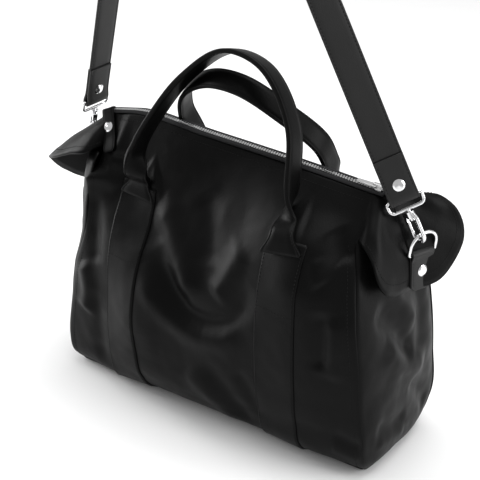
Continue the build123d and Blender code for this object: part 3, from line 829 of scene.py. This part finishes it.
# ---- handles ------------------------------------------------------------------------------------------
HANDLE_HALF = 13.0
HANDLE_THICK = 2.6
HANDLE_FOOT_X = 100.0
HANDLE_FOOT_Y = 61.0
HANDLE_FOOT_Z = 263.0
FRONT_LEAN = 15.0
BACK_LEAN = -32.0
# x and height above the feet
FRONT_ARCH = [
    (-102, 16), (-104, 42), (-83, 88), (-50, 135), (-3, 170), (50, 160), (90, 109), (100, 50),
    (101, 16),
]
BACK_ARCH = [
    (-96, 16), (-86, 46), (-85, 86), (-64, 128), (-21, 156), (21, 154), (62, 123), (94, 88),
    (98, 48), (98, 16),
]


def handle(name, node, path, feet_out):
    """A folded strap. It lies flat on the strip at its feet, flares there, and turns edge-on in the arch."""
    line = curve(path, 150)
    run = np.linspace(0, 1, len(line))
    foot = np.minimum(run, 1 - run)
    turn = ease((foot - 0.035) / 0.13)[:, None]
    flat = np.where(run < 0.5, 1.0, -1.0)[:, None] * (1.0, 0.0, 0.0)
    across = unit(flat * (1 - turn) + np.array(feet_out, float) * turn)
    half = HANDLE_HALF + 11.5 * (1 - ease(foot / 0.045)) ** 1.2
    thick = HANDLE_THICK + 0.9 * np.exp(-((foot - 0.05) / 0.02) ** 2)
    obj, _, across, normal = ribbon(name, line, across, half, thick, BLACK_LEATHER)
    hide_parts(node)
    stitches = Stitching()
    for side in (-1, 1):
        for face in (-1, 1):
            seam = line + across * (half * SEAM_PLACE * side)[:, None]
            seam = seam + normal * (thick * 0.9 * face)[:, None]
            stitches.add(seam[3:-3], (normal * face)[3:-3])
    thread = stitches.build(name + "_thread")
    for piece in (obj, thread):
        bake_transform(piece)


def arch_points(arch, foot_y, lean):
    """The handle's arch, leant about the line through its feet. lean is in degrees towards the back."""
    angle = math.radians(lean)
    return [(x, foot_y + h * math.sin(angle), HANDLE_FOOT_Z + h * math.cos(angle)) for x, h in arch]


def foot_points(rows, side_y, x, z):
    """Where the strap lies flat on its reinforcing strip: its end and its neck."""
    end = point_on(rows, x * 1.09, z) + (0, side_y * 3.4, 0)
    neck = point_on(rows, x * 1.06, z + 17) + (0, side_y * 6.5, 0)
    return [end, neck]


for label, rows, side_y, arch, lean, left_z, right_z in (
    ("front", front_rows, -1, FRONT_ARCH, FRONT_LEAN, 232, 244),
    ("back", back_rows, 1, BACK_ARCH, BACK_LEAN, 236, 236),
):
    foot_y = side_y * HANDLE_FOOT_Y
    left = foot_points(rows, side_y, -HANDLE_FOOT_X, left_z)
    right = foot_points(rows, side_y, HANDLE_FOOT_X, right_z)
    path = left + arch_points(arch, foot_y, lean) + right[::-1]
    angle = math.radians(lean)
    outward = (0, math.cos(angle), -math.sin(angle))
    handle(f"{label}_handle_leather", f"{label}_handle", path, outward)

# ---- zip ----------------------------------------------------------------------------------------------
ZIP_FROM = -180.0
ZIP_TO = 184.0
TOOTH_PITCH = 3.2
# one element seen from above: reach towards the other row, and half width
TOOTH_OUTLINE = [
    (-3.6, -1.2), (-1.0, -1.2), (-0.4, -0.75), (0.9, -0.75),
    (0.9, 0.75), (-0.4, 0.75), (-1.0, 1.2), (-3.6, 1.2),
]
TOOTH_LEVELS = [(-1.45, 0.25), (-1.1, 0.0), (1.1, 0.0), (1.45, 0.25)]  # height and inset
# across a tape, from the teeth outward: y and height
TAPE_SECTION = [(3.0, 0.9), (3.6, 0.2), (5.0, 0.1), (7.0, -0.1), (TAPE_EDGE + 1.5, -0.6)]


def zip_line(x):
    return np.stack([x, np.zeros_like(x), TOP_Z + 0.5 + bow(x)], axis=-1)


def zip_teeth(name, node, side):
    """Cast elements with a head that reaches into the other row."""
    points, faces = [], []
    count = int((ZIP_TO - ZIP_FROM) / TOOTH_PITCH) - 1
    sides = len(TOOTH_OUTLINE)
    for i in range(count):
        x = ZIP_FROM + TOOTH_PITCH * (i + 1) + (0 if side < 0 else TOOTH_PITCH / 2)
        centre = zip_line(np.array(float(x)))
        start = len(points)
        for level, inset in TOOTH_LEVELS:
            for y, w in TOOTH_OUTLINE:
                reach = y - inset if y > 0 else y + inset * 0.5
                width = math.copysign(abs(w) * 0.62 - inset * 0.5, w)
                points.append(centre + (width, side * -reach, level))
        faces += grid_faces(len(TOOTH_LEVELS), sides, start, side < 0, closed=True)
        last = start + (len(TOOTH_LEVELS) - 1) * sides
        top = [last + k for k in range(sides)]
        bottom = [start + k for k in range(sides - 1, -1, -1)]
        faces += [tuple(top[::-1] if side < 0 else top), tuple(bottom[::-1] if side < 0 else bottom)]
    obj = make_mesh(name, points, faces, ZIP_METAL)
    for polygon in obj.data.polygons:
        polygon.use_smooth = False
    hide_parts(node)
    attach(obj, "bag")


def zip_tape(name, node, side):
    x = np.linspace(ZIP_FROM - 2, ZIP_TO + 1, 160)
    grid = np.stack([zip_line(x) + (0, side * y, z) for y, z in TAPE_SECTION])
    obj = sheet_of(name, [grid], TAPE_MATERIAL, side > 0, thick=0.8)
    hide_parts(node)
    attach(obj, "bag")


for side, label in ((-1, "front"), (1, "back")):
    zip_teeth(f"zip_elements_{label}", f"zip_teeth_{label}", side)
    zip_tape(f"zip_tape_cloth_{label}", f"zip_tape_{label}", side)

# ---- shoulder strap -----------------------------------------------------------------------------------
STRAP_HALF = 16.0
STRAP_THICK = 3.0
STRAP_DOUBLE = 44.0
EYE_WIRE = 1.8
HOLD = np.array((-46.0, -56.0, 846.0))
HOLD_BEND = 95.0
RISE_STATIONS = 90
BEND_STATIONS = 41
FALL_STATIONS = 110
# the bar of each snap's eye: its centre, the way the strap leaves it, and the strap's width
STRAP_ENDS = {
    -1: ((-206.189, -1.269, 329.354), (0.294643, -0.100668, 0.95029), (0.087, 0.996, 0.0)),
    1: ((204.13, -1.313, 306.63), (-0.418939, -0.091595, 0.903383), (0.683, 0.624, 0.381)),
}


def strap_stations():
    """The strap's line and its width direction: two straight runs that meet in a bend at HOLD."""
    left_eye, left_up, left_width = (np.array(v, float) for v in STRAP_ENDS[-1])
    right_eye, right_up, right_width = (np.array(v, float) for v in STRAP_ENDS[1])
    start = left_eye + left_up * STRAP_DOUBLE
    end = right_eye + right_up * STRAP_DOUBLE
    bend_in = HOLD - left_up * HOLD_BEND
    bend_out = HOLD - right_up * HOLD_BEND
    t = np.linspace(0, 1, BEND_STATIONS)[:, None]
    arc = bend_in * (1 - t) ** 2 + HOLD * 2 * t * (1 - t) + bend_out * t**2
    rise = start + (bend_in - start) * np.linspace(0, 1, RISE_STATIONS)[:, None]
    down = np.linspace(0, 1, FALL_STATIONS)
    fall = bend_out + (end - bend_out) * down[:, None]
    line = np.concatenate([rise[:-1], arc, fall[1:]])
    turn = np.concatenate([np.zeros(RISE_STATIONS - 1 + BEND_STATIONS), ease(down[1:] * 1.1)])[:, None]
    left_width = left_width - left_up * (left_width @ left_up)
    right_width = right_width - right_up * (right_width @ right_up)
    return line, left_width * (1 - turn) + right_width * turn


def strap_end(side):
    """Outer skin of the doubled end: up one face, round the eye's bar, and down the other."""
    eye, up, width = (np.array(v, float) for v in STRAP_ENDS[side])
    width = unit(width - up * (width @ up))
    out = np.cross(width, up)
    flat = STRAP_THICK / 2 + 0.05
    round_it = EYE_WIRE + 0.45 + STRAP_THICK / 2
    half = [(STRAP_DOUBLE + 1, flat), (30, flat), (18, flat), (11, flat + 0.3), (6, flat + 1.2)]
    half.append((2.2, round_it - 0.25))
    corner = round_it * 0.72
    turn = [(-corner, corner), (-round_it, 0), (-corner, -corner)]
    profile = curve(half + turn + [(s, -w) for s, w in half[::-1]], 110)
    line = np.array([eye + up * s + out * w for s, w in profile])
    return line, np.repeat(width[None], len(line), axis=0), out, up, eye


strap_stitches = Stitching()
line, across = strap_stations()
strap_obj, _, across, normal = ribbon(
    "strap_leather", line, across, STRAP_HALF, STRAP_THICK / 2, STRAP_LEATHER
)
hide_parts("shoulder_strap")
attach(strap_obj, "strap")
for side in (-1, 1):
    for face in (-1, 1):
        seam = line + across * STRAP_HALF * SEAM_PLACE * side + normal * STRAP_THICK / 2 * 0.92 * face
        strap_stitches.add(seam, normal * face, pitch=3.8, size=2.5)
for side, label in ((-1, "left"), (1, "right")):
    line, across, out, up, eye = strap_end(side)
    obj, _, across, _ = ribbon(
        f"strap_end_{label}", line, across, STRAP_HALF, STRAP_THICK / 2, STRAP_LEATHER
    )
    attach(obj, "strap")
    for edge in (-1, 1):
        for face in (-1, 1):
            start = eye + out * face * (STRAP_THICK + 0.05) + across[0] * edge * STRAP_HALF * SEAM_PLACE
            seam = [start + up * s for s in np.linspace(9, STRAP_DOUBLE - 1, 12)]
            strap_stitches.add(seam, out * face, pitch=3.8, size=2.5)
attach(strap_stitches.build("strap_thread"), "strap")

# ---- tabs ---------------------------------------------------------------------------------------------
TAB_HALF = 14.5
TAB_LENGTH = 40.0
RING_WIRE = 2.0
# each tab at its ring's bar: the bar's centre, the way down the flap, and the tab's width
TABS = {
    -1: ((-222.5, 10.3, 264.1), (-0.541, 0.204, -0.817), (0.587, 0.787, -0.192)),
    1: ((222.0, 12.0, 244.0), (0.06, -0.03, -1.0), (0.345, 0.936, 0.0)),
}


def ring_tab(side, label):
    """A leather strip folded round the D-ring's bar and riveted to the flap."""
    origin, down, width = (np.array(v, float) for v in TABS[side])
    down = unit(down)
    width = unit(width - down * (width @ down))
    out = np.cross(width, down)
    radius = RING_WIRE + 0.4 + LEATHER / 2
    outer = [origin + down * s + out * LEATHER / 2 for s in np.linspace(TAB_LENGTH, 6, 24)]
    angles = np.radians(np.linspace(60, 300, 30))
    wrap = [origin + (down * math.cos(a) + out * math.sin(a)) * radius for a in angles]
    inner = [origin + down * s - out * LEATHER / 2 for s in np.linspace(6, TAB_LENGTH, 24)]
    line = np.array(outer + wrap + inner)
    run = np.linspace(0, 1, len(line))
    foot = np.minimum(run, 1 - run) * 2
    half = TAB_HALF - 4.0 * (1 - ease(foot / 0.10)) ** 2
    across = np.repeat(width[None], len(line), axis=0)
    obj = ribbon(f"ring_tab_leather_{label}", line, across, half, LEATHER / 2, STRAP_LEATHER)[0]
    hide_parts(f"ring_tab_{label}")
    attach(obj, "bag")
    for edge in (-1, 1):
        for face in (-1, 1):
            start = origin + out * face * 1.95 + width * edge * TAB_HALF * SEAM_PLACE
            seam = [start + down * s for s in np.linspace(7, TAB_LENGTH - 4, 10)]
            bag_stitches.add(seam, out * face, pitch=FINE_PITCH, size=FINE_LONG)


for side, label in ((-1, "left"), (1, "right")):
    ring_tab(side, label)


def zip_end_tab():
    """The tab over the zip's closed end, riveted to the slope. Its lower end stands off the panel."""
    top = np.array(END_TAB_TOP)
    out = unit(np.array((0, -ROOF_DROP, ROOF_RUN)))
    way = np.array((0.42, -0.46, -0.78))
    way = unit(way - out * (way @ out))
    width = np.cross(way, out)
    angles = np.linspace(-2.2, -0.4, 8)
    over = [top + way * 3.0 * math.sin(a) + out * (3.0 * math.cos(a) - 1.8) for a in angles]
    lie = [top + way * s + out * (1.2 + 3.0 * ease((s - 30) / 22)) for s in np.linspace(1, 51, 40)]
    line = np.array(over + lie)
    run = np.linspace(0, 1, len(line))
    half = 8.0 - 2.6 * (1 - ease((1 - run) / 0.09)) ** 2
    across = np.repeat(width[None], len(line), axis=0)
    obj = ribbon("zip_end_tab_leather", line, across, half, 1.1, BLACK_LEATHER)[0]
    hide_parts("zip_end_tab")
    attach(obj, "bag")
    for side in (-1, 1):
        seam = line + across * (half * SEAM_PLACE * side)[:, None] + out * 1.0
        bag_stitches.add(seam[12:-3], out, pitch=3.2, size=2.1)


zip_end_tab()
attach(bag_stitches.build("bag_thread"), "bag")

# ---- inside -------------------------------------------------------------------------------------------
LINING_ROWS = 60
LINING_INSET = 5.5


def lining():
    """Cloth inside the leather: the same form, a little smaller, open at the base and under the zip."""
    z = np.linspace(6, TOP_Z - 6, LINING_ROWS)
    grids = []
    for side_y in (-1, 1):
        seams = (FRONT_LEFT_SEAM, FRONT_RIGHT_SEAM) if side_y < 0 else (BACK_LEFT_SEAM, BACK_RIGHT_SEAM)
        left, _ = seam_at(seams[0], z)
        right, _ = seam_at(seams[1], z)
        x = -left[:, None] + 6 + (left + right - 12)[:, None] * np.linspace(0, 1, LINING_ROWS)
        grid = front_rows(x, z) if side_y < 0 else back_rows(x, z)
        grid[..., 1] -= side_y * LINING_INSET
        grid[..., 1] = side_y * np.maximum(grid[..., 1] * side_y, 2.0)
        grids.append(grid)
    ring = np.concatenate([grids[0], grids[1][:, ::-1]], axis=1)
    ring = np.concatenate([ring, ring[:, :1]], axis=1)
    obj = sheet_of("lining_cloth", [ring], LINING_MATERIAL, False, thick=0.8)
    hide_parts("lining")
    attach(obj, "bag")


lining()

for fitting in ("d_ring", "snap_eye", "snap_hook", "snap_gate"):
    for label in ("left", "right"):
        paint(f"{fitting}_{label}", CHROME)
for node in ("tab_rivets", "strap_rivets"):
    paint(node, CHROME)
for node in ("zip_slider", "zip_pull", "zip_stops"):
    paint(node, ZIP_METAL)
paint("base_board", BOARD_MATERIAL)
paint("inner_pocket", LINING_MATERIAL)


# ---- floor, lights and camera -------------------------------------------------------------------------
FLOOR_HALF = 9000
FLOOR_Z = -0.5
CAMERA_TARGET = (0.0009, 0, 0.2013)
CAMERA_AZIMUTH = 35.2
CAMERA_ELEVATION = 26.1
CAMERA_DISTANCE = 1.3649


def softbox(name, place, target, size, power):
    light = bpy.data.lights.new(name, "AREA")
    light.shape = "RECTANGLE"
    light.size, light.size_y = size
    light.energy = power
    obj = bpy.data.objects.new(name, light)
    obj.location = place
    obj.rotation_euler = (Vector(target) - Vector(place)).to_track_quat("-Z", "Y").to_euler()
    bpy.context.scene.collection.objects.link(obj)


def studio():
    material, nodes, links, shader = new_material("floor_white")
    mottle = nodes.new("ShaderNodeTexNoise")
    mottle.inputs["Scale"].default_value = 3
    tint = ramp(nodes, [(0.3, 0.86), (0.7, 0.9)])
    links.new(mottle.outputs["Fac"], tint.inputs["Fac"])
    links.new(tint.outputs["Color"], shader.inputs["Base Color"])
    shader.inputs["Roughness"].default_value = 0.55
    shader.inputs["Specular IOR Level"].default_value = 0.15
    corners = [(x * FLOOR_HALF, y * FLOOR_HALF, FLOOR_Z) for x, y in ((-1, -1), (1, -1), (1, 1), (-1, 1))]
    floor = make_mesh("floor", corners, [(0, 1, 2, 3)], material)

    world = bpy.data.worlds.new("studio")
    bpy.context.scene.world = world
    world.use_nodes = True
    sky = world.node_tree.nodes["Background"]
    sky.inputs["Color"].default_value = (1, 1, 1, 1)
    sky.inputs["Strength"].default_value = 0.55

    softbox("top_box", (0.2, 0.5, 2.6), (0, 0, 0.1), (2.4, 1.8), 52)
    softbox("left_box", (-2.0, -0.3, 0.9), (0, 0, 0.2), (1.2, 1.6), 44)
    softbox("right_box", (2.1, 0.6, 1.0), (0, 0, 0.2), (1.2, 1.6), 30)


def camera():
    azimuth = math.radians(CAMERA_AZIMUTH)
    elevation = math.radians(CAMERA_ELEVATION)
    level = math.cos(elevation)
    back = Vector((math.sin(azimuth) * level, -math.cos(azimuth) * level, math.sin(elevation)))
    data = bpy.data.cameras.new("camera")
    data.lens = 90
    data.sensor_width = 36
    data.clip_end = 100
    obj = bpy.data.objects.new("camera", data)
    obj.location = Vector(CAMERA_TARGET) + back * CAMERA_DISTANCE
    obj.rotation_euler = back.to_track_quat("Z", "Y").to_euler()
    bpy.context.scene.collection.objects.link(obj)
    bpy.context.scene.camera = obj


studio()
camera()
bpy.context.scene.view_settings.view_transform = "Standard"
